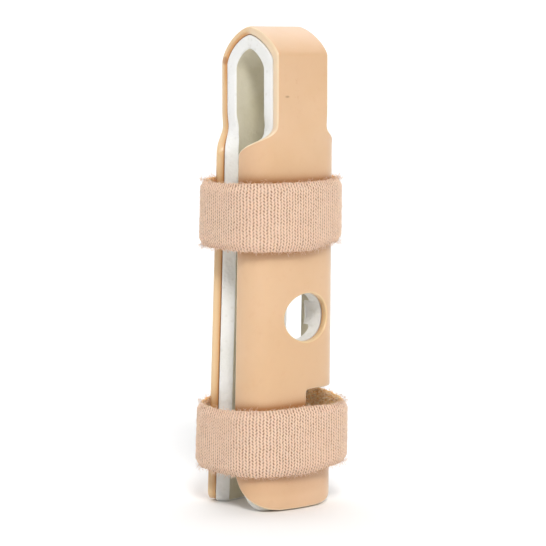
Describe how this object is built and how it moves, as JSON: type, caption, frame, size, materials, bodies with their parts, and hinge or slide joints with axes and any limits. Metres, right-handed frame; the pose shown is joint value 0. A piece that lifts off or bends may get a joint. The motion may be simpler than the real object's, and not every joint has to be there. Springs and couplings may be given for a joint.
{
  "type": "finger splint",
  "caption": "Finger splint of plastic sheet folded over the fingertip and lined with foam, with an oval hole, a strap slot and knitted strap loops that hold it round the finger.",
  "frame": {"origin": "middle of the bounding box, at the open ends that stand on the table", "axes": "+Z from the open ends to the fingertip, -Y the front limb with the hole and the slot, +X across the finger"},
  "size_m": [0.0346, 0.0302, 0.113],
  "materials": {
    "peach_plastic": "satin",
    "white_foam": "matte closed-cell foam",
    "peach_knit": "knitted, with a looped pile inside"
  },
  "bodies": {
    "root": {"splint_shell": "peach_plastic", "foam_lining": "white_foam", "upper_strap": "peach_knit", "lower_strap": "peach_knit"}
  },
  "joints": []
}
